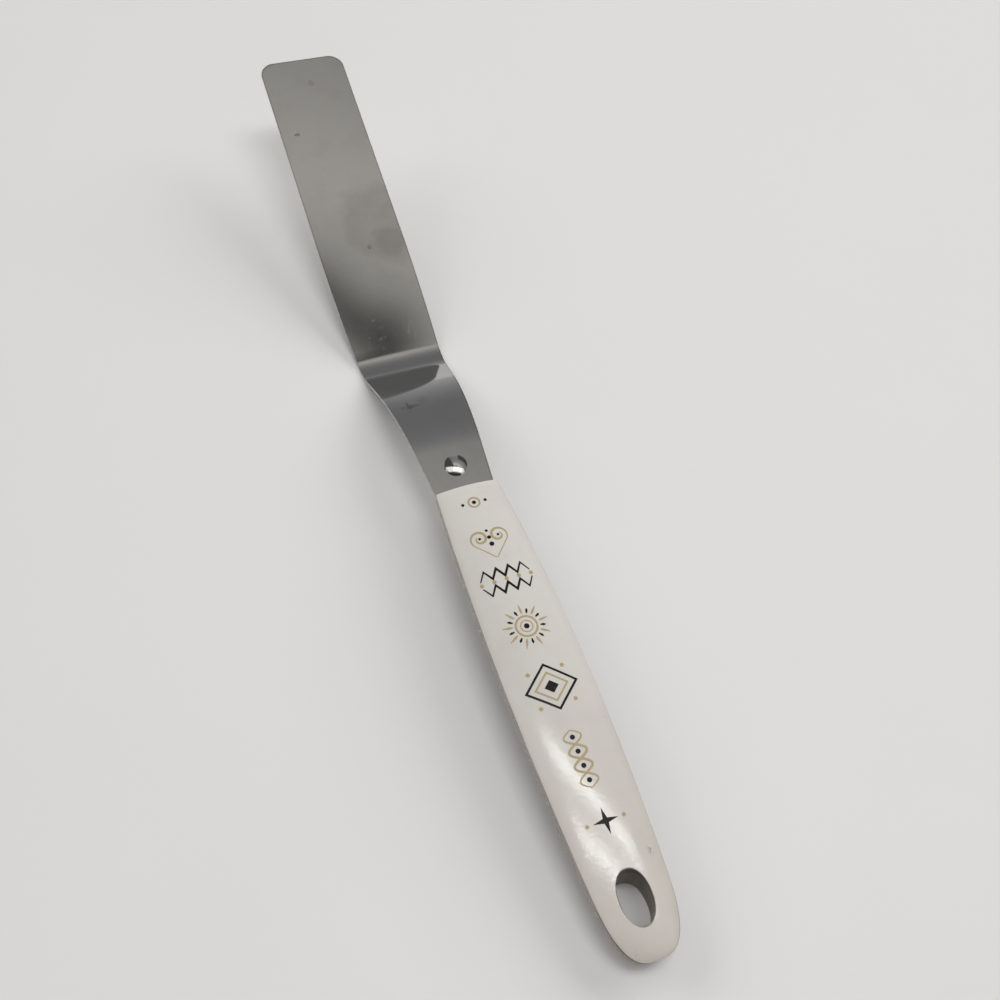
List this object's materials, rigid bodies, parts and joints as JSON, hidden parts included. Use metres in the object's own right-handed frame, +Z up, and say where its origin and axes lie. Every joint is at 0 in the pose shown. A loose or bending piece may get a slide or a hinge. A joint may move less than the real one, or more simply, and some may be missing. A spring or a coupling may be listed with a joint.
{
  "type": "palette knife",
  "caption": "Cranked palette knife: a flat springy steel blade with an offset shank, riveted to a cream plastic handle with an oval hanging hole in its butt.",
  "frame": {"origin": "middle of the knife's footprint, on the surface that it rests on", "axes": "+X from the handle's butt to the blade's tip, +Y to the left of that, +Z up from the resting surface"},
  "size_m": [0.3392, 0.032, 0.0348],
  "materials": {
    "blade_steel": "rolled sheet, satin and scuffed by use",
    "handle_plastic": "moulded, semi-gloss, a little yellowed",
    "rivet_metal": "polished",
    "print_gold": "old-gold printing ink, slightly worn",
    "print_black": "black printing ink, slightly worn"
  },
  "bodies": {
    "root": {"blade": "blade_steel", "handle": "handle_plastic", "rivet_pin": "rivet_metal", "rivet_socket": "rivet_metal"}
  },
  "joints": []
}
